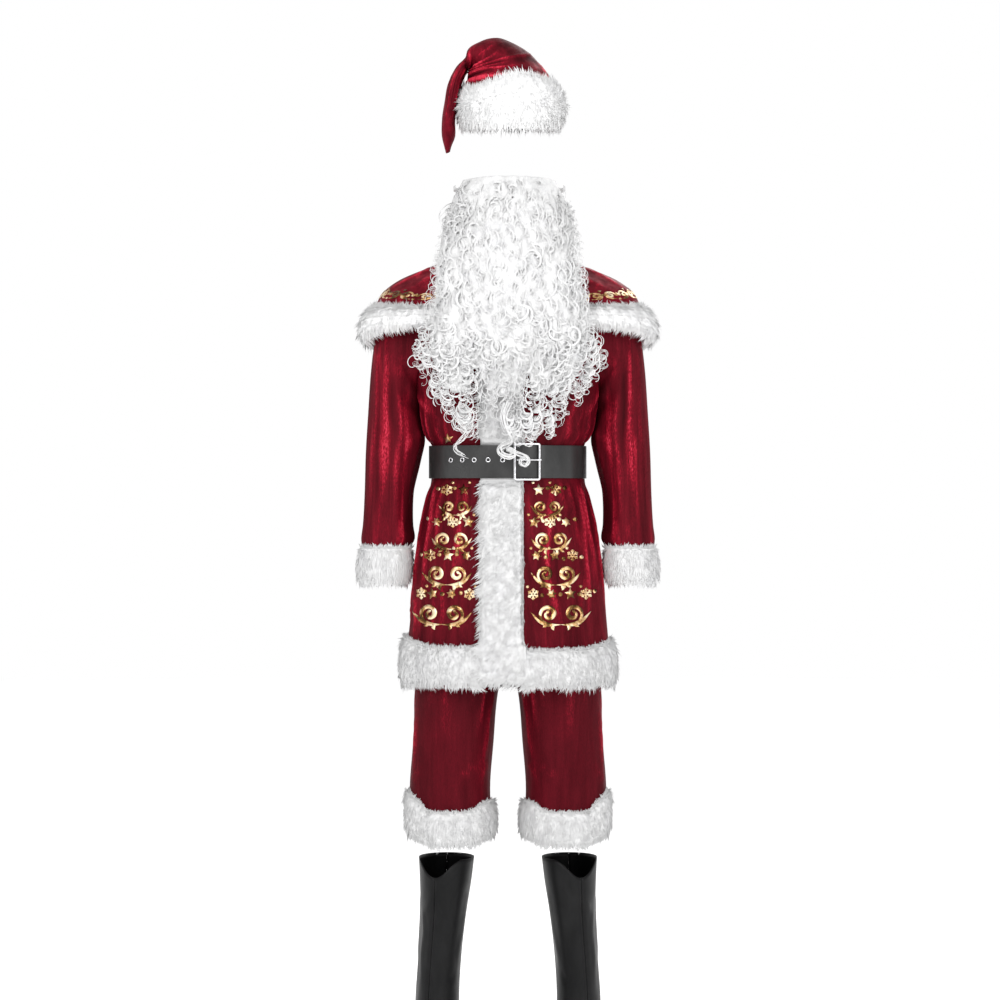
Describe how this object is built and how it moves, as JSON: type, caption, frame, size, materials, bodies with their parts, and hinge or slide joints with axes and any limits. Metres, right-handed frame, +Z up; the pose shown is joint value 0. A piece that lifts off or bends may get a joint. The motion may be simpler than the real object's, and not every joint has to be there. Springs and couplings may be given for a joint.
{
  "type": "santa suit",
  "caption": "Santa suit in worn form: folded velvet hat, long curly beard, fur-edged capelet, belted coat with gold print, cropped trousers and boot covers, open hollows inside.",
  "frame": {"origin": "on the wearer's centre line at shoulder height, inside the neck opening, where the wearer carries the suit", "axes": "+Z up along the standing suit, -Y to its front, +X to the right of someone facing it"},
  "size_m": [0.5504, 0.3788, 1.9494],
  "materials": {
    "velvet": "crushed wine-red velvet with a bright nap, gold foil print on the coat's skirt and cape",
    "plush": "long white faux fur",
    "beard_hair": "glossy white curly fibre",
    "belt_leather": "satin black faux leather",
    "boot_leather": "soft black faux leather, slightly creased",
    "silver_metal": "polished silver-coloured metal",
    "elastic": "plain woven elastic"
  },
  "bodies": {
    "root": {"coat_front_left": "velvet", "coat_front_right": "velvet", "coat_back": "velvet", "sleeve_left": "velvet", "sleeve_right": "velvet", "cape_front_left": "velvet", "cape_front_right": "velvet", "cape_back": "velvet", "neckband": "velvet", "hat_crown_front": "velvet", "hat_crown_back": "velvet", "trouser_front_left": "velvet", "trouser_front_right": "velvet", "trouser_back_left": "velvet", "trouser_back_right": "velvet", "waistband": "velvet", "cuff_left": "plush", "cuff_right": "plush", "placket": "plush", "hem_trim": "plush", "cape_trim_left": "plush", "cape_trim_right": "plush", "cape_trim_back": "plush", "hat_brim": "plush", "trouser_cuff_left": "plush", "trouser_cuff_right": "plush", "beard": "beard_hair", "belt_strap": "belt_leather", "boot_inner_left": "boot_leather", "boot_inner_right": "boot_leather", "boot_outer_left": "boot_leather", "boot_outer_right": "boot_leather", "belt_eyelet_1": "silver_metal", "belt_eyelet_2": "silver_metal", "belt_eyelet_3": "silver_metal", "belt_eyelet_4": "silver_metal", "belt_eyelet_5": "silver_metal", "buckle_frame": "silver_metal", "buckle_prong": "silver_metal", "beard_elastic": "elastic", "boot_elastic_left": "elastic", "boot_elastic_right": "elastic"}
  },
  "joints": []
}
